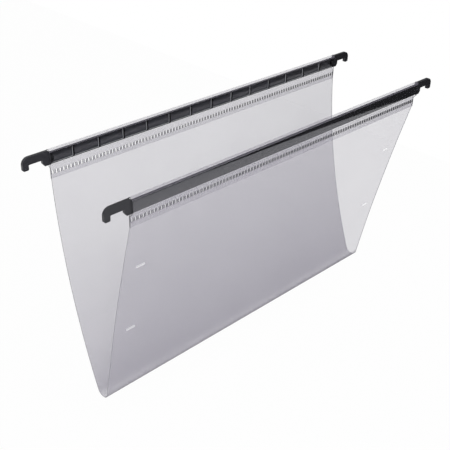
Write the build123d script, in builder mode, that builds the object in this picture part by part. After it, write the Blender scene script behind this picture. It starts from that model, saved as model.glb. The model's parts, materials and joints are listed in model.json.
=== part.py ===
from build123d import *

import math
import os

# Hanging file folder with plastic rails, in millimetres.
# One clear sheet is creased at the base and hemmed over two ribbed rails, and a hook is plugged
# into each rail end. The sheet is split where it flexes: below each hem and at the base crease.
# X runs along the rails, -Y is the front, +Z is up. The origin is midway between the four hook
# seats, at the height of the runners that carry them.

# Rails
rail_length = 353.0
rail_height = 10.2
rail_depth = 2.8
rail_edge_radius = 0.35
rail_spread = 105.4  # between the centre lines of the two rails, half open as hung
rail_drop = 5.6  # underside of the rails below the hook seats
rib_count = 13
rib_thickness = 1.6
end_cell_length = 22.0  # from a rail end to the middle of the first rib
cell_depth = 1.2
cell_rim = 0.7  # edge of the rail above and below each cell

# Hooks
block_length = 7.5  # shoulder between the rail end and the notch
block_overlap = 0.2  # shoulder reaches this far below the rail
notch_width = 12.7
hook_arm_height = 6.6
hook_tip_width = 5.3
hook_tip_drop = 4.5
hook_corner_radius = 6.0
hook_tip_radius = 1.2
notch_radius = 0.7
heel_chamfer_run = 1.8
heel_chamfer_rise = 2.5
shoulder_chamfer = 2.0  # clears the loop of the hem
hook_edge_chamfer = 0.3
tongue_reach = 3.0  # rounded tongue that lies in the rail's end cell
tongue_clearance = 0.1

# Sheet
sheet_overhang = 1.5  # past each rail end
sheet_thickness = 0.5
sleeve_clearance = 0.15
loop_rise = 2.35  # hollow of the hem above the rail
flap_close = 3.5  # the two layers of the hem meet this far below the rail
tail_drop = 13.0  # edge of the hem's flap below the rail
flex_gap = 0.4  # left free at each flex line
base_drop = 217.35  # base crease below the hook seats
bend_radius = 6.5
rear_lean = 22.0  # degrees off upright just above the bend
front_lean = 10.5

# Slots along the hems, which take index tabs
tab_slot_count = 101
tab_slot_margin = 2.0  # from the sheet's side edge to the middle of the first slot
tab_slot_width = 2.0
tab_slot_height = 3.3
tab_slot_drop = 5.6  # top of the slots below the rail

# Slots in the front panel, two near each side edge
panel_slot_width = 8.5
panel_slot_height = 1.8
panel_slot_margin = 17.7  # from the sheet's side edge to the middle of a slot
panel_slot_drops = (46.8, 118.4)  # middle of each pair below the hem's flap

cut_overrun = 1.0

# Places that follow from the sizes
rail_end = rail_length / 2
sheet_width = rail_length + 2 * sheet_overhang
rail_bottom = -rail_drop
rail_middle = rail_bottom + rail_height / 2
rib_pitch = (rail_length - 2 * end_cell_length) / (rib_count - 1)
cell_height = rail_height - 2 * cell_rim
notch_start = rail_end + block_length
notch_end = notch_start + notch_width
hook_end = notch_end + hook_tip_width
block_bottom = rail_bottom - block_overlap
tongue_radius = cell_height / 2 - tongue_clearance
tongue_half_height = math.sqrt(tongue_reach * (2 * tongue_radius - tongue_reach))
sleeve_half = rail_depth / 2 + sleeve_clearance
tail_bottom = rail_bottom - tail_drop
tab_slot_pitch = (sheet_width - 2 * tab_slot_margin) / (tab_slot_count - 1)
flex_level = tail_bottom - flex_gap / 2
panel_top_offset = rail_spread / 2 - sleeve_half - sheet_thickness / 2

rows = {"rear": 1, "front": -1}
sides = {"left": -1, "right": 1}


def finish(builder, name):
    """Label a finished piece and write it."""
    builder.part.label = name
    export_step(builder.part, f"parts/{name}.step")


def section_plane(row):
    """Square to a rail, from the middle of its underside: local X leaves the pocket, local Y is up."""
    return Plane(origin=(0, row * rail_spread / 2, rail_bottom), x_dir=(0, row, 0), z_dir=(row, 0, 0))


def face_plane(row, offset_y, level):
    """Upright plane along a rail, facing away from the pocket."""
    return Plane(origin=(0, row * offset_y, level), x_dir=(1, 0, 0), z_dir=(0, row, 0))


def build_rail(row, name):
    """Bar with a row of shallow cells on its inner side; the end cells are open for the hooks."""
    end_cell_width = end_cell_length - rib_thickness / 2 + cut_overrun
    end_cell_x = rail_end + cut_overrun - end_cell_width / 2
    with BuildPart() as rail:
        with BuildSketch(section_plane(row)):
            with Locations((0, rail_height / 2)):
                RectangleRounded(rail_depth, rail_height, rail_edge_radius)
        extrude(amount=rail_length / 2, both=True)
        with BuildSketch(face_plane(row, rail_spread / 2 - rail_depth / 2, rail_middle)):
            with GridLocations(rib_pitch, cell_height, rib_count - 1, 1):
                Rectangle(rib_pitch - rib_thickness, cell_height)
            with Locations((-end_cell_x, 0), (end_cell_x, 0)):
                Rectangle(end_cell_width, cell_height)
        extrude(amount=cell_depth, mode=Mode.SUBTRACT)
    finish(rail, name)


def build_hook(row, side, name):
    """Hook with a notch for the runner, a shoulder against the rail end and a tongue in its end cell."""
    hook_plane = Plane(origin=(0, row * rail_spread / 2, 0), x_dir=(side, 0, 0), z_dir=(0, -side, 0))
    tongue_plane = Plane(
        origin=(0, row * (rail_spread - rail_depth) / 2, rail_middle), x_dir=(side, 0, 0), z_dir=(0, row, 0)
    )
    tongue_root = rail_end + block_length / 2
    with BuildPart() as hook:
        with BuildSketch(hook_plane) as outline:
            with BuildLine():
                Polyline(
                    (rail_end, block_bottom),
                    (notch_start - heel_chamfer_run, block_bottom),
                    (notch_start, block_bottom + heel_chamfer_rise),
                    (notch_start, 0),
                    (notch_end, 0),
                    (notch_end, -hook_tip_drop),
                    (hook_end, -hook_tip_drop),
                    (hook_end, hook_arm_height),
                    (rail_end + shoulder_chamfer, hook_arm_height),
                    (rail_end, hook_arm_height - shoulder_chamfer),
                    close=True,
                )
            make_face()
            fillet(outline.vertices().group_by(Axis.X)[-1].sort_by(Axis.Y)[-1], radius=hook_corner_radius)
            fillet(outline.vertices().filter_by_position(Axis.Y, 0, 0), radius=notch_radius)
            fillet(
                outline.vertices().filter_by_position(Axis.Y, -hook_tip_drop, -hook_tip_drop),
                radius=hook_tip_radius,
            )
        extrude(amount=rail_depth / 2, both=True)
        flat_sides = hook.faces().filter_by(Axis.Y)
        chamfer(flat_sides.edges(), length=hook_edge_chamfer)
        with BuildSketch(tongue_plane):
            with BuildLine():
                nose = ThreePointArc(
                    (rail_end, -tongue_half_height), (rail_end - tongue_reach, 0), (rail_end, tongue_half_height)
                )
                Polyline(
                    nose @ 1,
                    (tongue_root, tongue_half_height),
                    (tongue_root, -tongue_half_height),
                    nose @ 0,
                )
            make_face()
        extrude(amount=cell_depth - tongue_clearance)
    finish(hook, name)


def build_hem(row, name):
    """Sleeve that the sheet makes round a rail, closed below it by a slotted double layer."""
    tail_height = tail_drop - flap_close
    slot_level = rail_bottom - tab_slot_drop - tab_slot_height / 2
    with BuildSketch() as hollow:
        with BuildLine():
            loop = ThreePointArc(
                (-sleeve_half, rail_height), (0, rail_height + loop_rise), (sleeve_half, rail_height)
            )
            Polyline(
                loop @ 1,
                (sleeve_half, -block_overlap - sleeve_clearance),
                (-sleeve_half, -flap_close),
                loop @ 0,
            )
        make_face()
    with BuildPart() as hem:
        with BuildSketch(section_plane(row)):
            add(hollow.sketch)
            offset(amount=sheet_thickness)
            with Locations((-sleeve_half, -flap_close - tail_height / 2)):
                Rectangle(2 * sheet_thickness, tail_height)
            add(hollow.sketch, mode=Mode.SUBTRACT)
        extrude(amount=sheet_width / 2, both=True)
        with BuildSketch(face_plane(row, rail_spread / 2 - sleeve_half, slot_level)):
            with GridLocations(tab_slot_pitch, tab_slot_height, tab_slot_count, 1):
                Rectangle(tab_slot_width, tab_slot_height)
        extrude(amount=sheet_thickness + cut_overrun, both=True, mode=Mode.SUBTRACT)
    finish(hem, name)


def build_panel(row, lean, slot_drops, name):
    """Half of the sheet, from the base crease round its bend and up to the flex line below the hem."""
    base_plane = Plane(origin=(0, 0, -base_drop), x_dir=(0, row, 0), z_dir=(row, 0, 0))
    end_gap = (flex_gap + sheet_thickness) / 2
    panel_rise = flex_level - end_gap + base_drop
    slot_x = sheet_width / 2 - panel_slot_margin
    with BuildPart() as panel:
        with BuildSketch(base_plane):
            with BuildLine():
                bend = JernArc(start=(end_gap, 0), tangent=(1, 0), radius=bend_radius, arc_size=90 - lean)
                TangentArc(bend @ 1, (panel_top_offset, panel_rise), tangent=bend % 1)
                offset(amount=sheet_thickness / 2, side=Side.BOTH)
            make_face()
        extrude(amount=sheet_width / 2, both=True)
        for drop in slot_drops:
            with BuildSketch(face_plane(row, 0, tail_bottom - drop)):
                with GridLocations(2 * slot_x, panel_slot_height, 2, 1):
                    Rectangle(panel_slot_width, panel_slot_height)
            extrude(amount=rail_spread, mode=Mode.SUBTRACT)
    finish(panel, name)


os.makedirs("parts", exist_ok=True)
for end, row in rows.items():
    build_rail(row, f"{end}_rail")
    build_hem(row, f"{end}_hem")
    for hand, side in sides.items():
        build_hook(row, side, f"hook_{end}_{hand}")
build_panel(rows["rear"], rear_lean, (), "rear_panel")
build_panel(rows["front"], front_lean, panel_slot_drops, "front_panel")
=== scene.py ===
import json
import math

import bmesh
import bpy
from bpy.props import FloatProperty, FloatVectorProperty, IntProperty, PointerProperty
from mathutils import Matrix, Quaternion, Vector


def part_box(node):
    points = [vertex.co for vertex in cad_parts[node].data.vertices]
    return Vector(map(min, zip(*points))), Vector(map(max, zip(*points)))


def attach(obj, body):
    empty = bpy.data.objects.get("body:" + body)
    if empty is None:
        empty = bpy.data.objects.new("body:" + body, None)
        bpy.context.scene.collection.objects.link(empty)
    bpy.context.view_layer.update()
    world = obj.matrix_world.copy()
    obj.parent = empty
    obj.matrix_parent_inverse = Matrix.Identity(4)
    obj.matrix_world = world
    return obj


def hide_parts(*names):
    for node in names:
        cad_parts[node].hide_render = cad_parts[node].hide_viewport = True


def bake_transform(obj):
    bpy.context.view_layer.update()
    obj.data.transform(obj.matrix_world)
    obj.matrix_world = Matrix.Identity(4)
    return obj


bl_info = {
    "name": "Hanging file folder",
    "version": (1, 0, 0),
    "blender": (4, 5, 0),
    "location": "3D View > Sidebar > Folder",
    "description": "Clear sheet with slotted hems, ribbed rails and hooks of a hanging file folder",
    "category": "Object",
}

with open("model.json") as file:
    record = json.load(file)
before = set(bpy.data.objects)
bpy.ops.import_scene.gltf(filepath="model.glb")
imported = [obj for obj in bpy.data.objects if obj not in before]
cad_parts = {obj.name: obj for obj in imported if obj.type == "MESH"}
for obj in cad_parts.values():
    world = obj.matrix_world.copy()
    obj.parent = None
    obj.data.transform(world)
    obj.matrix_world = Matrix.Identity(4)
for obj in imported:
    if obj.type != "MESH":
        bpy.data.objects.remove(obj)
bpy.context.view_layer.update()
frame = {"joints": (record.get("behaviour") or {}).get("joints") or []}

# Places taken from the frame, in metres: X runs along the rails, -Y is the front and +Z is up
ROWS = {"rear": 1, "front": -1}
SIDES = {"left": -1, "right": 1}
PIVOTS = {joint["name"]: Vector(joint["pos_m"]) for joint in frame["joints"]}
HEM_PIVOT = PIVOTS["rear_hem_flex"]
BASE_LEVEL = PIVOTS["base_fold"].z
RAIL_LOW, RAIL_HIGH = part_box("rear_rail")
HEM_LOW, HEM_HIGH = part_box("rear_hem")
HOOK_LOW, HOOK_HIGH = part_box("hook_rear_right")
RAIL_LINE = (RAIL_LOW.y + RAIL_HIGH.y) / 2
RAIL_HALF_DEPTH = (RAIL_HIGH.y - RAIL_LOW.y) / 2
RAIL_HEIGHT = RAIL_HIGH.z - RAIL_LOW.z
RAIL_MIDDLE = (RAIL_HIGH.z + RAIL_LOW.z) / 2
SHEET_EDGE = HEM_HIGH.x

# Fineness of the meshes
BEND_STEPS = 14
LOOP_STEPS = 12
SIDE_STEPS = 10
CORNER_STEPS = 4
HOOK_ARC_STEPS = 10
EDGE_STEPS = 3  # across the rounded edges of rails and hooks
CELL_EDGE_STEPS = 2
FILM_SPACING = 0.0045
MERGE_DISTANCE = 0.000002
SHARP_ANGLE = math.radians(38)
END_EASE = 0.45  # easing of the film's ends, as a share of half its thickness
BEVEL_SCALE = 1000

# Ripples of the panels: radians per metre across, radians over the height, start, share of the whole
RIPPLES = ((23, 4, 1, 0.625), (47, -9, 2, 0.375))

# Numbers of the finishes of a film, of a rail and of a hook
FILM, CUT_EDGE_SHADE, SLOT_EDGE_HIGHLIGHT, FRONT_EDGE_SHADE = range(4)
SKIN, RIB_AND_TOP_SHADE, CELL_FLOOR, CELL_WALL_HIGHLIGHT = range(4)
HOOK, SHADED_TONGUE = range(2)
FINISH_COUNT = 4  # the most that one piece has
CELL_FLOOR_FACING = 0.9  # a cell's face that looks inwards more than this is its floor

# Share of what lies behind it that the film hides
SLEEVE_HAZE = 0.002  # beside the rail
LOOP_HAZE = 0.15  # more above the rail
TAIL_HAZE = 0.175  # more below the rail
FLAP_HAZE = 0.05  # more again from the slots down
FLAP_SHARE = 0.45  # that part of the height below the rail
# Haze that rises towards the base crease is painted shade, most of it on the rear panel.
FRONT_HAZE_AND_SHADE = (0.24, 0.25)  # at the hem and at the base crease
REAR_HAZE_AND_SHADE = (0.26, 0.53)
REAR_CHANGE = 70  # per metre, from the front panel's haze to the rear panel's
BEND_DIMMING = 0.85  # of what is seen edge on through the bend at the base crease
BEND_HEIGHT = 0.008  # of that bend above the crease

# Strength of the white studio, by the kind of ray that meets it
FLOOR_SEEN = 0.97
FLOOR_BEYOND = 0.35  # through the film and in reflections
SKY_THROUGH_FILM = 0.78
SKY_AS_LIGHT = 0.6
SKY_MIRRORED = 0.25
SKY_MIRRORED_RISE = 0.6  # towards the bright side
SKY_MIRRORED_LEAST = 0.04
SKY_BRIGHT_SIDE = (-0.5, 0.3, 0.8)

WHITE = (1, 1, 1)
COOL_GLOSS = (0.92, 0.92, 1)  # tint of the plastics' gloss


def length(name, description, default):
    return FloatProperty(name=name, description=description, default=default, precision=5, unit="LENGTH")


def angle(name, description, degrees):
    return FloatProperty(name=name, description=description, default=math.radians(degrees), unit="ROTATION")


def spot(name, description, default):
    return FloatVectorProperty(name=name, description=description, default=default, subtype="TRANSLATION")


def colour(name, description, default):
    return FloatVectorProperty(name=name, description=description, default=default, subtype="COLOR", max=1)


class FolderFilm(bpy.types.PropertyGroup):
    """The clear sheet: pocket, hems and their slots."""

    thickness: length("Thickness", "Thickness of the film", 0.0005)
    bend_radius: length("Bend radius", "Bend of the sheet either side of the base crease", 0.0065)
    crease_flat: length("Crease flat", "Half width of the flat at the base crease", 0.00045)
    rear_lean: angle("Rear lean", "Lean of the rear panel just above the bend", 22)
    front_lean: angle("Front lean", "Lean of the front panel just above the bend", 10.5)
    ripple: length("Ripple", "Height of the slow ripples in the panels", 0.00035)
    flex_gap: length("Flex gap", "Gap left on each side of the flex line below a hem", 0.00006)
    loop_rise: length("Loop rise", "Top of the hem's loop above the rail", 0.0026)
    sleeve_drop: length("Sleeve drop", "Where the hem turns in, below the rail", 0.00045)
    flap_drop: length("Flap drop", "Where the hem's layers meet, below the rail", 0.0036)
    fold_radius: length("Fold radius", "Radius of the hem's folds", 0.0012)
    layer_gap: length("Layer gap", "Gap between the two layers of the hem", 0.00006)
    sleeve_bulge: length("Sleeve bulge", "Bulge of the film beside the rail", 0.0003)
    sleeve_foot: length("Sleeve foot", "Where the bulge beside the rail starts, below it", 0.0012)
    tab_slot_count: IntProperty(name="Tab slots", description="Slots along each hem", default=101, min=1)
    tab_slot_margin: length("Tab slot margin", "Side edge to the middle of the first slot", 0.002)
    tab_slot_width: length("Tab slot width", "Width of a slot", 0.002)
    tab_slot_height: length("Tab slot height", "Height of a slot", 0.0033)
    tab_slot_drop: length("Tab slot drop", "Top of the slots below the rail", 0.0056)
    card_slot_width: length("Card slot width", "Width of a slot in the front panel", 0.0085)
    card_slot_height: length("Card slot height", "Height of a slot in the front panel", 0.0018)
    card_slot_margin: length("Card slot margin", "Side edge to the middle of a slot", 0.0177)
    card_slot_drop: length("Upper card slots", "Middle of the upper slots below the hem", 0.0468)
    card_slot_step: length("Card slot step", "Upper slots down to the lower ones", 0.0716)
    tint: colour("Tint", "Colour of the film's milky haze", (0.41, 0.385, 0.48))
    # Cut edges are painted dark: shade of the film's edges seen edge on.
    edge_shade_tint: colour("Edge shade tint", "Colour of the film's cut edges, dark as painted shade", (0.035, 0.035, 0.04))
    # The front panel's side edges get a lighter painted shade than the other cut edges.
    front_edge_shade_tint: colour("Front edge tint", "Colour of the front panel's side edges, a lighter painted shade", (0.33, 0.33, 0.35))
    # The card slots' edges are bright and glow a little: painted highlight and painted glow.
    slot_highlight_tint: colour("Slot highlight tint", "Colour of the card slots' edges, bright as a painted highlight", (0.86, 0.86, 0.88))


class FolderRails(bpy.types.PropertyGroup):
    """The two rails with a row of shallow cells on their inner sides."""

    rib_count: IntProperty(name="Ribs", description="Ribs between the cells of a rail", default=13, min=2)
    rib_thickness: length("Rib thickness", "Thickness of a rib", 0.0016)
    end_cell: length("End cell", "Rail end to the middle of the first rib", 0.022)
    cell_depth: length("Cell depth", "Depth of the cells", 0.0012)
    cell_rim: length("Cell rim", "Edge of the rail above and below the cells", 0.0007)
    edge_radius: length("Edge radius", "Rounding of the rail's long edges", 0.00035)
    cell_radius: length("Cell radius", "Rounding of the cells' edges", 0.00018)
    tint: colour("Colour", "Colour of the rail plastic", (0.008, 0.008, 0.010))
    # Ribs and the rail's top are darker than the skin: painted shade.
    rib_and_top_shade_tint: colour("Rib and top colour", "Colour of the ribs and the rail's top, darkened as painted shade", (0.003, 0.003, 0.0035))
    # The cells' floors are a little lighter than the skin: painted light of the haze over them.
    cell_tint: colour("Cell colour", "Colour of the cells' floors, lightened a little as painted light", (0.014, 0.0145, 0.018))
    # The cells' walls are far paler than the plastic: a painted highlight of their lit sides.
    wall_highlight_tint: colour("Cell wall highlight colour", "Colour of the cells' walls, pale as a painted highlight", (0.42, 0.425, 0.45))


class FolderHooks(bpy.types.PropertyGroup):
    """The four hooks plugged into the rail ends."""

    block_length: length("Shoulder length", "Shoulder between the rail end and the notch", 0.0075)
    notch_width: length("Notch width", "Width of the notch that hangs on a runner", 0.0127)
    tip_drop: length("Tip drop", "Tip of the hook below its seat", 0.0045)
    corner_radius: length("Corner radius", "Outer corner of the hook", 0.006)
    tip_radius: length("Tip radius", "Corners of the tip", 0.0012)
    notch_radius: length("Notch radius", "Corners of the notch", 0.0007)
    mould_radius: length("Mould radius", "Rounding of the other corners", 0.0003)
    heel_run: length("Heel run", "Run of the slope at the shoulder's heel", 0.0018)
    heel_rise: length("Heel rise", "Rise of the slope at the shoulder's heel", 0.0025)
    shoulder_cut: length("Shoulder cut", "Slope that clears the loop of the hem", 0.002)
    edge_radius: length("Edge radius", "Rounding of the flat sides' edges", 0.00028)
    tongue_reach: length("Tongue reach", "Tongue past the rail end", 0.003)
    tongue_clearance: length("Tongue clearance", "Gap round the tongue in the end cell", 0.0001)
    tint: colour("Colour", "Colour of the hook plastic", (0.008, 0.0083, 0.011))
    # The tongue is darker than the rest of the hook: painted shade of its seat in the rail's end cell.
    tongue_shade_tint: colour("Tongue colour", "Colour of the dull tongue, darkened as painted shade", (0.004, 0.004, 0.005))


class FolderStage(bpy.types.PropertyGroup):
    """Camera, floor and light."""

    azimuth: angle("Azimuth", "Camera's bearing round the folder", -44.76)
    elevation: angle("Elevation", "Camera's height above the horizon", 30.73)
    roll: angle("Roll", "Camera's turn about its own axis", 1.55)
    distance: length("Distance", "Camera to the middle of the view", 0.82287)
    target: spot("Target", "Middle of the view", (0.02103, 0.0513, -0.14065))
    lens: FloatProperty(name="Lens", description="Focal length in millimetres", default=63.38)
    floor_drop: length("Floor drop", "Floor below the base crease", 0.045)
    floor_size: length("Floor size", "Side of the floor", 3.2)
    floor_right: length("Floor right", "Right edge of the floor", 0.56)
    floor_front: length("Floor front", "Front edge of the floor", 0.95)
    key_power: FloatProperty(name="Key light", description="Power of the key light in watts", default=7)
    key_size: length("Key size", "Side of the key light", 1.2)
    key_place: spot("Key place", "Middle of the key light", (-0.5, -0.7, 0.95))
    fill_power: FloatProperty(name="Fill light", description="Power of the fill light in watts", default=0.8)
    fill_size: length("Fill size", "Side of the fill light", 1.0)
    fill_place: spot("Fill place", "Middle of the fill light", (1.0, -0.4, 0.5))


class Socket:
    """One output of a node. Sums on sockets are written as Python expressions."""

    def __init__(self, tree, output=None):
        self.tree = tree
        self.output = output

    def node(self, kind, settings=None, sockets=None, result=0):
        """Add a node: its settings first, then its inputs as values or links. Returns one of its outputs."""
        made = self.tree.nodes.new(kind)
        for name, value in (settings or {}).items():
            setattr(made, name, value)
        for name, value in (sockets or {}).items():
            for item in value if isinstance(value, list) else [value]:
                if isinstance(item, Socket):
                    self.tree.links.new(item.output, made.inputs[name])
                else:
                    made.inputs[name].default_value = item
        return Socket(self.tree, made.outputs[result] if made.outputs else None)

    def other(self, name):
        """Another output of the same node."""
        return Socket(self.tree, self.output.node.outputs[name])

    def math(self, operation, first, second):
        return self.node("ShaderNodeMath", {"operation": operation}, {0: first, 1: second})

    def __add__(self, value):
        return self.math("ADD", self, value)

    __radd__ = __add__

    def __sub__(self, value):
        return self.math("SUBTRACT", self, value)

    def __rsub__(self, value):
        return self.math("SUBTRACT", value, self)

    def __mul__(self, value):
        return self.math("MULTIPLY", self, value)

    __rmul__ = __mul__


def new_material(name):
    """An empty material and the start of its node tree."""
    material = bpy.data.materials.new(name)
    material.use_nodes = True
    material.node_tree.nodes.clear()
    return material, Socket(material.node_tree)


def object_noise(tree, scale, detail=2.0, stretch=(1, 1, 1)):
    """Noise on Object coordinates, drawn out along an axis where stretch is small."""
    place = tree.node("ShaderNodeTexCoord", result="Object")
    place = tree.node("ShaderNodeMapping", sockets={"Vector": place, "Scale": stretch})
    return tree.node("ShaderNodeTexNoise", sockets={"Vector": place, "Scale": scale, "Detail": detail})


def object_place(tree):
    """Y and Z of a point in the piece's own coordinates."""
    place = tree.node("ShaderNodeTexCoord", result="Object")
    depth = tree.node("ShaderNodeSeparateXYZ", sockets={"Vector": place}, result="Y")
    return depth, depth.other("Z")


def shade_of(tint, share=1.0):
    """A darker or lighter shade of a colour, with alpha."""
    return (*(channel * share for channel in tint), 1)


def blend_colours(tree, factor, first, second):
    return tree.node("ShaderNodeMix", {"data_type": "RGBA"}, {0: factor, 6: first, 7: second}, result=2)


def film_material(name, tint, cover, bend=None):
    """Milky see-through film: cover is how much of what lies behind it is hidden, by place.

    It has slow clouds in its haze and faint drawing lines in its gloss, and it hides more edge on. Where it
    is bent it also takes more light edge on."""
    material, tree = new_material(name)
    cloud = object_noise(tree, scale=14, detail=3)
    lines = object_noise(tree, scale=30, stretch=(1, 14, 14))
    bump = tree.node("ShaderNodeBump", sockets={"Strength": 0.05, "Distance": 0.0001, "Height": lines})
    facing = tree.node("ShaderNodeLayerWeight", sockets={"Blend": 0.5, "Normal": bump}, result="Facing")
    haze = cover(tree) * (0.9 + 0.2 * cloud)
    shine = 1.2 * tree.math("POWER", facing, 5)
    surface = tree.node(
        "ShaderNodeBsdfPrincipled",
        sockets={
            "Base Color": blend_colours(tree, lines, shade_of(tint, 0.97), shade_of(tint, 1.03)),
            "Roughness": 0.16 + 0.06 * cloud + 0.04 * lines,
            "IOR": 2.6,
            "Alpha": haze + haze * shine,
            "Normal": bump,
        },
    )
    if bend:
        dimmed = tree.node("ShaderNodeBsdfTransparent", sockets={"Color": shade_of(tint, 0.3)})
        edge_on = bend(tree) * tree.math("POWER", facing, 4)
        surface = tree.node("ShaderNodeMixShader", sockets={0: edge_on, 1: surface, 2: dimmed})
    tree.node("ShaderNodeOutputMaterial", sockets={"Surface": surface})
    return material


def hem_cover(tree):
    """A hem is nearly clear beside the rail, hazier above and below it, and haziest from the slots down."""
    level = object_place(tree)[1]
    above_rail = tree.math("GREATER_THAN", level, RAIL_HIGH.z)
    below_rail = tree.math("LESS_THAN", level, RAIL_LOW.z)
    in_flap = tree.math("LESS_THAN", level, HEM_LOW.z + FLAP_SHARE * (RAIL_LOW.z - HEM_LOW.z))
    return SLEEVE_HAZE + LOOP_HAZE * above_rail + TAIL_HAZE * below_rail + FLAP_HAZE * in_flap


def pocket_cover(tree):
    """The rear panel grows hazier towards the base crease than the front one: painted shade that darkens it
    there.
    """
    depth, level = object_place(tree)
    drop = (level - HEM_PIVOT.z) * (1 / (BASE_LEVEL - HEM_PIVOT.z))
    rear = tree.node("ShaderNodeClamp", sockets={"Value": 0.5 + REAR_CHANGE * depth})
    front_haze, rear_haze = (top + (base - top) * drop * drop for top, base in (FRONT_HAZE_AND_SHADE, REAR_HAZE_AND_SHADE))
    return front_haze + (rear_haze - front_haze) * rear


def pocket_bend(tree):
    """The bend at the base crease."""
    level = object_place(tree)[1]
    return BEND_DIMMING * tree.math("LESS_THAN", level, BASE_LEVEL + BEND_HEIGHT)


def moulded_material(name, tint, roughness, ior, grain, flow=1.0, crown=0.0, glow=0.0):
    """Moulded plastic: mottled, drawn out along X where flow is small, with uneven gloss and a fine grain.

    Grain is its scale and depth. A crown makes the height of a rail look bowed outwards. A glow is painted
    light: the surface shines by its own emission, though it is no lamp."""
    material, tree = new_material(name)
    mottle = object_noise(tree, scale=70, detail=4, stretch=(flow, 1, 1))
    grain_scale, grain_depth = grain
    fine = object_noise(tree, scale=grain_scale)
    height = (fine * 0.7 + mottle * 0.3) * (grain_depth * 0.0001)
    if crown:
        offset = object_place(tree)[1] - RAIL_MIDDLE
        height = height - offset * offset * crown
    bump = tree.node("ShaderNodeBump", sockets={"Strength": 1.0, "Distance": 1.0, "Height": height})
    surface = tree.node(
        "ShaderNodeBsdfPrincipled",
        sockets={
            "Base Color": blend_colours(tree, mottle, shade_of(tint, 0.8), shade_of(tint, 1.25)),
            "Roughness": roughness - 0.05 + 0.1 * mottle + 0.05 * fine,
            "IOR": ior,
            "Specular Tint": shade_of(COOL_GLOSS),
            "Emission Color": shade_of(WHITE),
            "Emission Strength": glow,
            "Normal": bump,
        },
    )
    tree.node("ShaderNodeOutputMaterial", sockets={"Surface": surface})
    return material


def ray_kinds(tree):
    """Camera, transmission and glossy rays as three masks that never overlap."""
    camera = tree.node("ShaderNodeLightPath", result="Is Camera Ray")
    through = camera.other("Is Transmission Ray") * (1 - camera)
    reflected = camera.other("Is Glossy Ray") * (1 - camera) * (1 - through)
    return camera, through, reflected


def floor_material():
    """White floor that still shows a faint shadow, and more of it through the film."""
    material, tree = new_material("White floor")
    camera, through, reflected = ray_kinds(tree)
    cloud = object_noise(tree, scale=3)
    diffuse = tree.node(
        "ShaderNodeBsdfDiffuse",
        sockets={"Color": blend_colours(tree, cloud, shade_of(WHITE, 0.82), shade_of(WHITE, 0.84))},
    )
    glow = tree.node("ShaderNodeEmission", sockets={"Color": shade_of(WHITE), "Strength": 1.0})
    share = FLOOR_SEEN * camera + FLOOR_BEYOND * (through + reflected)
    lit = tree.node("ShaderNodeMixShader", sockets={0: share, 1: diffuse, 2: glow})
    tree.node("ShaderNodeOutputMaterial", sockets={"Surface": lit})
    return material


def white_world():
    """White where the camera sees it, pale through the film, and dimmer low down in reflections."""
    world = bpy.data.worlds.new("White studio")
    world.use_nodes = True
    world.node_tree.nodes.clear()
    tree = Socket(world.node_tree)
    camera, through, reflected = ray_kinds(tree)
    direction = tree.node("ShaderNodeTexCoord", result="Generated")
    sides = {0: direction, 1: SKY_BRIGHT_SIDE}
    towards = tree.node("ShaderNodeVectorMath", {"operation": "DOT_PRODUCT"}, sides, result="Value")
    dome = tree.math("MAXIMUM", SKY_MIRRORED + SKY_MIRRORED_RISE * towards, SKY_MIRRORED_LEAST)
    rest = 1 - camera - through - reflected
    strength = camera + SKY_THROUGH_FILM * through + dome * reflected + SKY_AS_LIGHT * rest
    sky = tree.node("ShaderNodeBackground", sockets={"Color": shade_of(WHITE), "Strength": strength})
    tree.node("ShaderNodeOutputWorld", sockets={"Surface": sky})
    return world


def make_piece(name, shape, finishes):
    """A mesh object at the origin out of vertices, faces and the number of each face's finish."""
    verts, faces, marks = shape
    mesh = bpy.data.meshes.new(name)
    mesh.from_pydata([tuple(vert) for vert in verts], [], faces)
    for finish in finishes:
        mesh.materials.append(finish)
    mesh.polygons.foreach_set("material_index", marks)
    mesh.shade_smooth()
    mesh.set_sharp_from_angle(angle=SHARP_ANGLE)
    piece = bpy.data.objects.new(name, mesh)
    bpy.context.scene.collection.objects.link(piece)
    return piece


def settle(piece):
    """Keep large faces flat by weighted normals, then make the piece and its modifiers one plain mesh."""
    flat_faces = piece.modifiers.new("Flat faces", "WEIGHTED_NORMAL")
    flat_faces.weight = 100
    flat_faces.keep_sharp = True
    bpy.context.view_layer.update()
    graph = bpy.context.evaluated_depsgraph_get()
    mesh = bpy.data.meshes.new_from_object(piece.evaluated_get(graph))
    piece.modifiers.clear()
    piece.data = mesh
    mesh.name = piece.name


def spaced(marks):
    """Places from the first mark to the last, evenly spaced between them, with every mark among them."""
    places = []
    for start, end in zip(marks, marks[1:]):
        count = max(1, math.ceil(abs(end - start) / FILM_SPACING))
        places += [start + (end - start) * step / count for step in range(count)]
    return places + [marks[-1]]


def arc_points(centre, radius, start, end, steps):
    """Points of an arc, both ends included, with angles in radians."""
    turns = [start + (end - start) * step / steps for step in range(steps + 1)]
    return [centre + radius * Vector((math.cos(turn), math.sin(turn))) for turn in turns]


def rounded_corner(before, corner, after, radius, steps):
    """Points of the arc that rounds one corner of a path."""
    back = (before - corner).normalized()
    ahead = (after - corner).normalized()
    half = back.angle(ahead) / 2
    middle = corner + (back + ahead).normalized() * radius / math.sin(half)
    first = corner + back * radius / math.tan(half) - middle
    last = corner + ahead * radius / math.tan(half) - middle
    start = math.atan2(first.y, first.x)
    turn = math.remainder(math.atan2(last.y, last.x) - start, math.tau)
    return arc_points(middle, radius, start, start + turn, steps)


def path_length(points):
    return sum((end - start).length for start, end in zip(points, points[1:]))


def film_stations(path, half):
    """Points of a path with half the film's thickness there. The corners of both film ends are eased."""
    ease = END_EASE * half

    def eased_end(tip, beyond):
        inward = (beyond - tip).normalized()
        return [(tip, half - ease), (tip + inward * ease, half)]

    between = [(point, half) for point in path[1:-1]]
    return eased_end(path[0], path[1]) + between + eased_end(path[-1], path[-2])[::-1]


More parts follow.
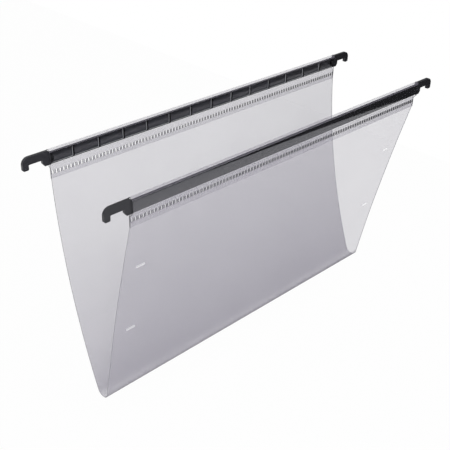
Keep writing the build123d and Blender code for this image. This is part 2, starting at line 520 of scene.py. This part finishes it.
def film_strip(stations, columns, place, is_hole, slot_finishes, ripple=None, open_sides=()):
    """Film of two faces along a path of stations, (point, half thickness), and across columns of X.

    A cell where is_hole(x, point) is true is left out and gets walls round it: slot_finishes are those
    of its level walls and of its upright ones. The sides named in open_sides, -1 for the first column and
    1 for the last, get no wall; the other sides get a cut edge's painted shade, both ends the film's finish."""
    points = [point for point, half in stations]
    verts = []
    upper, lower = [], []
    for index, (point, half) in enumerate(stations):
        run = points[min(index + 1, len(points) - 1)] - points[max(index - 1, 0)]
        normal = Vector((-run.y, run.x)).normalized()
        for face, side in ((upper, 1), (lower, -1)):
            face.append(range(len(verts), len(verts) + len(columns)))
            for x in columns:
                lift = side * half + (ripple(x, point) if ripple else 0)
                verts.append(place(x, point + normal * lift))
    last_row, last_column = len(points) - 2, len(columns) - 2

    def solid(row, column):
        if not (0 <= row <= last_row and 0 <= column <= last_column):
            return False
        return not is_hole((columns[column] + columns[column + 1]) / 2, (points[row] + points[row + 1]) / 2)

    faces, marks = [], []
    for row in range(last_row + 1):
        for column in range(last_column + 1):
            if not solid(row, column):
                continue
            corners = [(row, column), (row, column + 1), (row + 1, column + 1), (row + 1, column)]
            above = [upper[at_row][at_column] for at_row, at_column in corners]
            below = [lower[at_row][at_column] for at_row, at_column in corners]
            faces += [above, below[::-1]]
            marks += [FILM, FILM]
            beyond = [(row - 1, column), (row, column + 1), (row + 1, column), (row, column - 1)]
            for side, (next_row, next_column) in enumerate(beyond):
                outer_side = (next_column > last_column) - (next_column < 0)
                if solid(next_row, next_column) or outer_side in open_sides:
                    continue
                following = (side + 1) % len(corners)
                faces.append([above[following], above[side], below[side], below[following]])
                if outer_side:
                    marks.append(CUT_EDGE_SHADE)
                elif 0 <= next_row <= last_row:
                    marks.append(slot_finishes[side % 2])
                else:
                    marks.append(FILM)
    return verts, faces, marks


def joined(*shapes):
    """One shape out of several."""
    all_verts, all_faces, all_marks = [], [], []
    for verts, faces, marks in shapes:
        start = len(all_verts)
        all_verts += verts
        all_faces += [[start + index for index in face] for face in faces]
        all_marks += marks
    return all_verts, all_faces, all_marks


def mirrored(verts, faces, marks):
    """The same shape for the other end of the rail."""
    return [Vector((-vert.x, vert.y, vert.z)) for vert in verts], [face[::-1] for face in faces], marks


def on_rail(row):
    """Places (x, (outward, upward)) of a rail's section, turned half round for the front rail."""

    def place(x, point):
        return Vector((row * x, row * (RAIL_LINE + point.x), RAIL_LOW.z + point.y))

    return place


def row_tree():
    """Geometry Nodes that repeat one bay along the rail, add the row's ends and set the finishes."""
    tree = bpy.data.node_groups.new("Row along the rail", "GeometryNodeTree")
    tree.interface.new_socket("Geometry", in_out="OUTPUT", socket_type="NodeSocketGeometry")
    inputs = {
        "Bay": "NodeSocketGeometry",
        "Ends": "NodeSocketObject",
        "Count": "NodeSocketInt",
        "Pitch": "NodeSocketFloat",
        "Merge": "NodeSocketFloat",
        **{f"Finish {number}": "NodeSocketMaterial" for number in range(FINISH_COUNT)},
    }
    for name, kind in inputs.items():
        tree.interface.new_socket(name, in_out="INPUT", socket_type=kind)
    bay = Socket(tree).node("NodeGroupInput")
    pitch, count = bay.other("Pitch"), bay.other("Count")
    start = bay.node("ShaderNodeCombineXYZ", sockets={"X": (1 - count) * pitch * 0.5})
    step = bay.node("ShaderNodeCombineXYZ", sockets={"X": pitch})
    places = {"Count": count, "Start Location": start, "Offset": step}
    line = bay.node("GeometryNodeMeshLine", sockets=places)
    bays = bay.node("GeometryNodeInstanceOnPoints", sockets={"Points": line, "Instance": bay})
    ends = bay.node("GeometryNodeObjectInfo", sockets={"Object": bay.other("Ends")}, result="Geometry")
    whole = bay.node("GeometryNodeJoinGeometry", sockets={"Geometry": [bays, ends]})
    whole = bay.node("GeometryNodeRealizeInstances", sockets={"Geometry": whole})
    whole = bay.node(
        "GeometryNodeMergeByDistance", sockets={"Geometry": whole, "Distance": bay.other("Merge")}
    )
    mark = bay.node("GeometryNodeInputMaterialIndex")
    for number in range(FINISH_COUNT):
        marked = bay.math("COMPARE", mark, number)
        whole = bay.node(
            "GeometryNodeSetMaterial",
            sockets={"Geometry": whole, "Selection": marked, "Material": bay.other(f"Finish {number}")},
        )
    bay.node("NodeGroupOutput", sockets={"Geometry": whole})
    return tree


def repeat_bay(name, bay, ends, count, pitch, finishes):
    """Run the row tree on a bay and keep its result as a plain mesh."""
    piece = make_piece(name, bay, finishes)
    end_piece = make_piece(name + "_ends", ends, finishes)
    tree = bpy.data.node_groups.get("Row along the rail") or row_tree()
    modifier = piece.modifiers.new("Row", "NODES")
    modifier.node_group = tree
    values = {"Ends": end_piece, "Count": count, "Pitch": pitch, "Merge": MERGE_DISTANCE}
    values |= {f"Finish {number}": finish for number, finish in enumerate(finishes)}
    for item in tree.interface.items_tree:
        if item.in_out == "INPUT" and item.name in values:
            modifier[item.identifier] = values[item.name]
    settle(piece)
    bpy.data.objects.remove(end_piece)
    return piece


def edge_material(name, tint):
    """Finish of a plain cut edge, whose tint is a painted shade."""
    return moulded_material(name, tint, roughness=0.5, ior=1.4, grain=(1500, 0.1))


def film_finishes(film, clear):
    """A film and its cut edges, darkened as painted shade."""
    return clear, bpy.data.materials.get("Cut edge") or edge_material("Cut edge", film.edge_shade_tint)


def panel_side(film, lean, heights):
    """Mid-line of one panel from the base crease up: its bend, then one long arc at the given heights.

    Points are (outward from the crease, upward from it)."""
    rise = math.pi / 2 - lean
    middle = Vector((film.crease_flat, film.bend_radius))
    bend = arc_points(middle, film.bend_radius, -math.pi / 2, rise - math.pi / 2, BEND_STEPS)
    start = bend[-1]
    chord = Vector((HEM_PIVOT.y, heights[-1])) - start
    turn = 2 * (math.atan2(chord.y, chord.x) - rise)
    radius = chord.length / (2 * math.sin(turn / 2))
    points = []
    for height in heights:
        slope = math.acos(math.cos(rise) - (height - start.y) / radius)
        points.append(Vector((start.x + radius * (math.sin(slope) - math.sin(rise)), height)))
    return bend + points


def pocket_path(film, top, slot_marks):
    """Mid-line of the pocket, (to the rear, up), from the rear hem round the base to the front hem.

    The front panel has points at the slot marks, heights above the base crease."""
    rear = panel_side(film, film.rear_lean, spaced([film.bend_radius, top]))
    front = panel_side(film, film.front_lean, spaced([film.bend_radius, *slot_marks, top]))
    path = [Vector((point.x, BASE_LEVEL + point.y)) for point in reversed(rear)]
    return path + [Vector((-point.x, BASE_LEVEL + point.y)) for point in front]


class FOLDER_OT_pocket(bpy.types.Operator):
    """Make the pocket: the sheet from one hem round the base to the other"""

    bl_idname = "folder.pocket"
    bl_label = "Pocket sheet"

    def execute(self, context):
        film = context.scene.folder_film
        top = HEM_PIVOT.z - film.flex_gap - BASE_LEVEL
        slot_x = SHEET_EDGE - film.card_slot_margin
        slot_edges = [slot_x - film.card_slot_width / 2, slot_x + film.card_slot_width / 2]
        upper_slot = HEM_LOW.z - film.card_slot_drop - BASE_LEVEL
        slot_levels = [upper_slot - film.card_slot_step, upper_slot]
        half_slot = film.card_slot_height / 2
        slot_marks = [level + edge for level in slot_levels for edge in (-half_slot, half_slot)]
        path = pocket_path(film, top, slot_marks)
        stations = film_stations(path, film.thickness / 2)
        columns = spaced([-SHEET_EDGE, -slot_edges[1], -slot_edges[0], *slot_edges, SHEET_EDGE])

        def place(x, point):
            return Vector((x, point.x, point.y))

        def is_hole(x, point):
            level = point.y - BASE_LEVEL
            in_row = any(abs(level - slot) < half_slot for slot in slot_levels)
            return point.x < 0 and in_row and slot_edges[0] < abs(x) < slot_edges[1]

        def ripple(x, point):
            height = (point.y - BASE_LEVEL) / top
            calm = math.sin(math.pi * min(max(height, 0), 1)) ** 2
            hand = 1 if point.x > 0 else -1
            waves = [
                share * math.sin(across * x + upward * height + start * hand)
                for across, upward, start, share in RIPPLES
            ]
            return film.ripple * calm * sum(waves)

        verts, faces, marks = film_strip(stations, columns, place, is_hole, (SLOT_EDGE_HIGHLIGHT, SLOT_EDGE_HIGHLIGHT), ripple)
        # The front panel's side edges take their own, lighter painted shade.
        for number, face in enumerate(faces):
            if marks[number] == CUT_EDGE_SHADE and verts[face[0]].y < 0:
                marks[number] = FRONT_EDGE_SHADE
        finishes = (
            *film_finishes(film, film_material("Pocket film", film.tint, pocket_cover, pocket_bend)),
            # Painted highlight and painted glow on the card slots' edges.
            moulded_material(
                "Slot edge", film.slot_highlight_tint, roughness=0.4, ior=1.49, grain=(1500, 0.1), glow=0.2
            ),
            edge_material("Front edge", film.front_edge_shade_tint),
        )
        pocket = make_piece("pocket_sheet", (verts, faces, marks), finishes)
        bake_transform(pocket)
        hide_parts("rear_panel", "front_panel")
        flat_size = (2 * SHEET_EDGE, path_length(path))
        return {"FINISHED"}


def sleeve_side(film, foot, head, outward):
    """Points of the film beside the rail, bulging away from it between its foot and its head."""
    shares = [step / SIDE_STEPS for step in range(SIDE_STEPS)]
    bulges = [outward * film.sleeve_bulge * math.sin(math.pi * share) ** 2 for share in shares]
    points = [foot.lerp(head, share) + Vector((bulge, 0)) for share, bulge in zip(shares, bulges)]
    return points if outward < 0 else points[1:]


def hem_path(film, slot_bottom, slot_top):
    """Mid-line of a hem: up beside the rail, over it, down its outer side and in to the flap.

    Points are (outward from the rail's middle, upward from its underside)."""
    layer = RAIL_LINE - HEM_PIVOT.y
    flap = film.thickness + film.layer_gap - layer
    loop_radius = (layer**2 + film.loop_rise**2) / (2 * film.loop_rise)
    loop_middle = Vector((0, RAIL_HEIGHT + film.loop_rise - loop_radius))
    loop_dip = math.atan2(RAIL_HEIGHT - loop_middle.y, layer)
    turn_in = Vector((layer, -film.sleeve_drop))
    meet = Vector((flap, -film.flap_drop))
    flex_edge = Vector((-layer, HEM_PIVOT.z + film.flex_gap - RAIL_LOW.z))
    flap_edge = Vector((flap, HEM_LOW.z - RAIL_LOW.z))

    loop = arc_points(loop_middle, loop_radius, math.pi - loop_dip, loop_dip, LOOP_STEPS)
    folds = rounded_corner(loop[-1], turn_in, meet, film.fold_radius, CORNER_STEPS)
    folds += rounded_corner(turn_in, meet, flap_edge, film.fold_radius, CORNER_STEPS)
    inner_side = sleeve_side(film, Vector((-layer, -film.sleeve_foot)), loop[0], -1)
    outer_side = sleeve_side(film, folds[0], loop[-1], 1)[::-1]
    way_up = [flex_edge, Vector((-layer, slot_bottom)), Vector((-layer, slot_top))]
    way_down = [Vector((flap, slot_top)), Vector((flap, slot_bottom)), flap_edge]
    return [*way_up, *inner_side, *loop, *outer_side, *folds, *way_down]


class FOLDER_OT_hems(bpy.types.Operator):
    """Make the two hems: film folded over each rail, with a row of slots through both of its layers"""

    bl_idname = "folder.hems"
    bl_label = "Hems"

    def execute(self, context):
        film = context.scene.folder_film
        slot_top = -film.tab_slot_drop
        slot_bottom = slot_top - film.tab_slot_height
        stations = film_stations(hem_path(film, slot_bottom, slot_top), film.thickness / 2)
        flat_size = (2 * SHEET_EDGE, path_length([point for point, half in stations]))
        pitch = 2 * (SHEET_EDGE - film.tab_slot_margin) / (film.tab_slot_count - 1)
        half_slot = film.tab_slot_width / 2
        row_end = film.tab_slot_count * pitch / 2

        def is_hole(x, point):
            return abs(x) < half_slot and slot_bottom < point.y < slot_top

        def strip(columns, place, open_sides):
            # Painted shade on the slots' upright walls, as on cut edges; their level walls keep the film.
            return film_strip(stations, columns, place, is_hole, (FILM, CUT_EDGE_SHADE), open_sides=open_sides)

        finishes = film_finishes(film, film_material("Hem film", film.tint, hem_cover))
        for row_name, row in ROWS.items():
            place = on_rail(row)
            bay = strip([-pitch / 2, -half_slot, half_slot, pitch / 2], place, open_sides=(-1, 1))
            ends = joined(
                strip([-SHEET_EDGE, -row_end], place, open_sides=(1,)),
                strip([row_end, SHEET_EDGE], place, open_sides=(-1,)),
            )
            hem = repeat_bay(f"{row_name}_hem_film", bay, ends, film.tab_slot_count, pitch, finishes)
            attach(hem, f"{row_name}_rail_assembly")
            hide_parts(f"{row_name}_hem")
        return {"FINISHED"}


def round_edges(shape, edges, radius, segments):
    """Round edges. This is done on an enlarged shape, where the bevel keeps its small offsets."""
    bmesh.ops.scale(shape, vec=[BEVEL_SCALE] * 3, verts=shape.verts)
    round_arc = {"segments": segments, "profile": 0.5, "affect": "EDGES", "clamp_overlap": True}
    bmesh.ops.bevel(shape, geom=edges, offset=BEVEL_SCALE * radius, **round_arc)
    bmesh.ops.scale(shape, vec=[1 / BEVEL_SCALE] * 3, verts=shape.verts)


def rail_bay(rails, columns, open_end, place):
    """A stretch of rail with one cell, between the second and third columns of X.

    A bay with an open end has its cell run out through a closing face there."""
    inner, floor = -RAIL_HALF_DEPTH, rails.cell_depth - RAIL_HALF_DEPTH
    # Corners of the section, (outward, upward): the second and third are the cell's, the others the rail's
    section = [
        (inner, 0),
        (inner, rails.cell_rim),
        (inner, RAIL_HEIGHT - rails.cell_rim),
        (inner, RAIL_HEIGHT),
        (RAIL_HALF_DEPTH, RAIL_HEIGHT),
        (RAIL_HALF_DEPTH, 0),
    ]
    bay = bmesh.new()
    rings = [[bay.verts.new((x, *point)) for point in section] for x in columns]
    for column, (near, far) in enumerate(zip(rings, rings[1:])):
        for corner in range(len(section)):
            following = (corner + 1) % len(section)
            at_cell = column == 1 and corner == 1
            if not at_cell:
                bay.faces.new((near[corner], far[corner], far[following], near[following]))
    rim = [rings[1][1], rings[2][1], rings[2][2], rings[1][2]]
    sunk = [bay.verts.new((vert.co.x, floor, vert.co.z)) for vert in rim]
    bay.faces.new(sunk)
    for corner in range(len(rim)):
        following = (corner + 1) % len(rim)
        at_open_end = open_end and corner == 1
        if not at_open_end:
            bay.faces.new((rim[corner], rim[following], sunk[following], sunk[corner]))
    if open_end:
        end = rings[2]
        bay.faces.new((end[0], end[5], end[4], end[3], end[2], sunk[2], sunk[1], end[1]))

    long_corners = {ring[corner] for ring in rings for corner in (0, 3, 4, 5)}
    long_edges = [edge for edge in bay.edges if set(edge.verts) <= long_corners]
    long_edges = [edge for edge in long_edges if edge.verts[0].co.x != edge.verts[1].co.x]
    cell_corners = set(rim + sunk)
    cell_edges = [edge for edge in bay.edges if set(edge.verts) <= cell_corners]
    if open_end:
        cell_edges = [edge for edge in cell_edges if min(vert.co.x for vert in edge.verts) < columns[2]]
    round_edges(bay, long_edges, rails.edge_radius, EDGE_STEPS)
    cell_edges = [edge for edge in cell_edges if edge.is_valid]
    round_edges(bay, cell_edges, rails.cell_radius, CELL_EDGE_STEPS)
    bay.normal_update()

    def finish(face):
        """The rail's top takes the ribs' dull, darker finish, a painted shade. The cells' floors and walls
        have their own finishes, the walls a painted highlight.
        """
        middle = face.calc_center_median()
        closing = open_end and middle.x > columns[2] - rails.cell_radius
        # Painted shade: the rail's top, under the sleeve, takes the ribs' darker finish.
        if middle.z > RAIL_HEIGHT - rails.edge_radius / 4:
            return RIB_AND_TOP_SHADE
        if closing or middle.y > floor + rails.cell_radius or not 0 < middle.z < RAIL_HEIGHT:
            return SKIN
        if middle.y < inner + rails.cell_radius:
            return RIB_AND_TOP_SHADE
        return CELL_FLOOR if abs(face.normal.y) > CELL_FLOOR_FACING else CELL_WALL_HIGHLIGHT

    bay.verts.index_update()
    verts = [place(vert.co.x, Vector((vert.co.y, vert.co.z))) for vert in bay.verts]
    faces = [[vert.index for vert in face.verts] for face in bay.faces]
    marks = [finish(face) for face in bay.faces]
    bay.free()
    return verts, faces, marks


def rail_finishes(rails):
    """Glossy skin; ribs and top, dull and darkened as painted shade; the cells' floors, lightened a little
    as painted light; and their walls, pale as a painted highlight.
    """
    return (
        moulded_material(
            "Rail plastic", rails.tint, roughness=0.07, ior=2.2, grain=(900, 0.02), flow=0.12, crown=18
        ),
        moulded_material(
            "Rib plastic", rails.rib_and_top_shade_tint, roughness=0.5, ior=1.25, grain=(900, 0.1), flow=0.12
        ),
        moulded_material(
            "Cell plastic", rails.cell_tint, roughness=0.3, ior=1.9, grain=(1200, 0.1), flow=0.3, crown=45
        ),
        moulded_material("Cell wall plastic", rails.wall_highlight_tint, roughness=0.5, ior=1.49, grain=(1200, 0.1)),
    )


class FOLDER_OT_rails(bpy.types.Operator):
    """Make the two rails, with their ribs and cells repeated along them"""

    bl_idname = "folder.rails"
    bl_label = "Rails"

    def execute(self, context):
        rails = context.scene.folder_rails
        finishes = rail_finishes(rails)
        bays = rails.rib_count - 1
        first_rib = RAIL_HIGH.x - rails.end_cell
        pitch = 2 * first_rib / bays
        half_rib = rails.rib_thickness / 2
        columns = [-pitch / 2, half_rib - pitch / 2, pitch / 2 - half_rib, pitch / 2]
        end_columns = [first_rib, first_rib + half_rib, RAIL_HIGH.x]
        for row_name, row in ROWS.items():
            place = on_rail(row)
            bay = rail_bay(rails, columns, False, place)
            end = rail_bay(rails, end_columns, True, place)
            ends = joined(end, mirrored(*end))
            rail = repeat_bay(f"{row_name}_rail_bar", bay, ends, bays, pitch, finishes)
            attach(rail, f"{row_name}_rail_assembly")
            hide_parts(f"{row_name}_rail")
        return {"FINISHED"}


def hook_outline(hooks):
    """Outline of a hook with its corners rounded, (outward along the rail, up from the seat)."""
    notch_start = RAIL_HIGH.x + hooks.block_length
    notch_end = notch_start + hooks.notch_width
    mould = hooks.mould_radius
    corners = [
        (RAIL_HIGH.x, HOOK_LOW.z, mould),
        (notch_start - hooks.heel_run, HOOK_LOW.z, mould),
        (notch_start, HOOK_LOW.z + hooks.heel_rise, mould),
        (notch_start, 0, hooks.notch_radius),
        (notch_end, 0, hooks.notch_radius),
        (notch_end, -hooks.tip_drop, hooks.tip_radius),
        (HOOK_HIGH.x, -hooks.tip_drop, hooks.tip_radius),
        (HOOK_HIGH.x, HOOK_HIGH.z, hooks.corner_radius),
        (RAIL_HIGH.x + hooks.shoulder_cut, HOOK_HIGH.z, mould),
        (RAIL_HIGH.x, HOOK_HIGH.z - hooks.shoulder_cut, mould),
    ]
    points = [Vector((x, z)) for x, z, radius in corners]
    radii = [radius for x, z, radius in corners]
    outline = []
    for index, radius in enumerate(radii):
        following = points[(index + 1) % len(points)]
        steps = HOOK_ARC_STEPS if radius > hooks.tip_radius else CORNER_STEPS
        outline += rounded_corner(points[index - 1], points[index], following, radius, steps)
    return outline


def tongue_arc(hooks, rails):
    """Nose of a hook's tongue, from its top round to its foot."""
    radius = RAIL_HEIGHT / 2 - rails.cell_rim - hooks.tongue_clearance
    middle = Vector((RAIL_HIGH.x - hooks.tongue_reach + radius, RAIL_MIDDLE))
    half_turn = math.acos((middle.x - RAIL_HIGH.x) / radius)
    return arc_points(middle, radius, math.pi - half_turn, math.pi + half_turn, 2 * HOOK_ARC_STEPS)


def hook_mesh(hooks, rails):
    """One hook with its tongue, for the right end of the rear rail: (along, outward, up)."""
    outline = hook_outline(hooks)
    nose = tongue_arc(hooks, rails)
    inner, outer = -RAIL_HALF_DEPTH, RAIL_HALF_DEPTH
    step = inner + rails.cell_depth - hooks.tongue_clearance
    hook = bmesh.new()
    near = [hook.verts.new((point.x, inner, point.y)) for point in outline]
    far = [hook.verts.new((point.x, outer, point.y)) for point in outline]
    nose_near = [hook.verts.new((point.x, inner, point.y)) for point in nose]
    nose_far = [hook.verts.new((point.x, step, point.y)) for point in nose]
    root_far = [hook.verts.new((point.x, outer, point.y)) for point in (nose[0], nose[-1])]
    for index in range(len(outline) - 1):
        hook.faces.new((near[index], near[index + 1], far[index + 1], far[index]))
    hook.faces.new((near[-1], nose_near[0], nose_far[0], root_far[0], far[-1]))
    hook.faces.new((nose_near[-1], near[0], far[0], root_far[1], nose_far[-1]))
    hook.faces.new((nose_far[0], nose_far[-1], root_far[1], root_far[0]))
    for index in range(len(nose) - 1):
        hook.faces.new((nose_near[index], nose_near[index + 1], nose_far[index + 1], nose_far[index]))
    under = hook.faces.new(nose_far[::-1])
    inner_face = hook.faces.new((near + [nose_near[0], nose_near[-1]])[::-1])
    nose_face = hook.faces.new(nose_near[::-1])
    outer_face = hook.faces.new(far + root_far)
    bmesh.ops.recalc_face_normals(hook, faces=hook.faces)
    nose_root = hook.edges.get((nose_far[0], nose_far[-1]))
    rims = (set(inner_face.edges) ^ set(nose_face.edges)) | set(outer_face.edges)
    rims |= set(under.edges) - {nose_root}
    round_edges(hook, list(rims), hooks.edge_radius, EDGE_STEPS)

    tongue_end = RAIL_HIGH.x - hooks.edge_radius / 2
    hook.verts.index_update()
    verts = [vert.co.copy() for vert in hook.verts]
    faces = [[vert.index for vert in face.verts] for face in hook.faces]
    marks = [SHADED_TONGUE if face.calc_center_median().x < tongue_end else HOOK for face in hook.faces]
    hook.free()
    return verts, faces, marks


class FOLDER_OT_hooks(bpy.types.Operator):
    """Make the four hooks"""

    bl_idname = "folder.hooks"
    bl_label = "Hooks"

    def execute(self, context):
        hooks = context.scene.folder_hooks
        grain = (2200, 0.2)
        finishes = (
            moulded_material("Hook plastic", hooks.tint, roughness=0.34, ior=1.62, grain=grain),
            moulded_material("Tongue plastic", hooks.tongue_shade_tint, roughness=0.45, ior=1.35, grain=grain),
        )
        verts, faces, marks = hook_mesh(hooks, context.scene.folder_rails)
        for row_name, row in ROWS.items():
            for side_name, side in SIDES.items():
                node = f"hook_{row_name}_{side_name}"
                placed = [Vector((side * vert.x, row * (RAIL_LINE + vert.y), vert.z)) for vert in verts]
                turned = faces if side * row > 0 else [face[::-1] for face in faces]
                hook = make_piece(f"{node}_moulding", (placed, turned, marks), finishes)
                settle(hook)
                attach(hook, f"{row_name}_rail_assembly")
                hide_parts(node)
        return {"FINISHED"}


def soft_light(name, power, size, place, target):
    """A square soft light aimed at a point."""
    light = bpy.data.lights.new(name, "AREA")
    light.energy = power
    light.size = size
    lamp = bpy.data.objects.new(name, light)
    lamp.location = place
    lamp.rotation_mode = "QUATERNION"
    lamp.rotation_quaternion = (target - place).to_track_quat("-Z", "Y")
    bpy.context.scene.collection.objects.link(lamp)


class FOLDER_OT_stage(bpy.types.Operator):
    """Make the camera, the white floor and the light"""

    bl_idname = "folder.stage"
    bl_label = "Stage"

    def execute(self, context):
        scene = context.scene
        stage = scene.folder_stage
        level = math.cos(stage.elevation)
        back = Vector(
            (math.sin(stage.azimuth) * level, -math.cos(stage.azimuth) * level, math.sin(stage.elevation))
        )
        camera = bpy.data.objects.new("Camera", bpy.data.cameras.new("Camera"))
        camera.data.lens = stage.lens
        camera.location = stage.target + back * stage.distance
        camera.rotation_mode = "QUATERNION"
        camera.rotation_quaternion = Quaternion(back, stage.roll) @ (-back).to_track_quat("-Z", "Y")
        scene.collection.objects.link(camera)
        scene.camera = camera

        floor_level = BASE_LEVEL - stage.floor_drop
        right, front = stage.floor_right, -stage.floor_front
        left, back_edge = right - stage.floor_size, front + stage.floor_size
        corners = [(left, front), (right, front), (right, back_edge), (left, back_edge)]
        sheet = [(x, y, floor_level) for x, y in corners], [[0, 1, 2, 3]], [0]
        floor = make_piece("floor", sheet, (floor_material(),))
        scene.world = white_world()
        soft_light("Key light", stage.key_power, stage.key_size, stage.key_place, stage.target)
        soft_light("Fill light", stage.fill_power, stage.fill_size, stage.fill_place, stage.target)
        scene.view_settings.view_transform = "Standard"
        return {"FINISHED"}


GROUPS = {
    "folder_film": FolderFilm,
    "folder_rails": FolderRails,
    "folder_hooks": FolderHooks,
    "folder_stage": FolderStage,
}
OPERATORS = (FOLDER_OT_stage, FOLDER_OT_rails, FOLDER_OT_hooks, FOLDER_OT_hems, FOLDER_OT_pocket)


class VIEW3D_PT_folder(bpy.types.Panel):
    """Lists the sizes, the colours and the steps that make the folder"""

    bl_label = "Hanging file folder"
    bl_space_type = "VIEW_3D"
    bl_region_type = "UI"
    bl_category = "Folder"

    def draw(self, context):
        for operator in OPERATORS:
            self.layout.operator(operator.bl_idname)
        for group_name, group in GROUPS.items():
            box = self.layout.box()
            for name in group.__annotations__:
                box.prop(getattr(context.scene, group_name), name)


CLASSES = (*GROUPS.values(), *OPERATORS, VIEW3D_PT_folder)


def register():
    for cls in CLASSES:
        bpy.utils.register_class(cls)
    for name, group in GROUPS.items():
        setattr(bpy.types.Scene, name, PointerProperty(type=group))


def unregister():
    for name in GROUPS:
        delattr(bpy.types.Scene, name)
    for cls in reversed(CLASSES):
        bpy.utils.unregister_class(cls)


def main():
    register()
    bpy.ops.folder.stage()
    bpy.ops.folder.rails()
    bpy.ops.folder.hooks()
    bpy.ops.folder.hems()
    bpy.ops.folder.pocket()


if __name__ == "__main__":
    main()
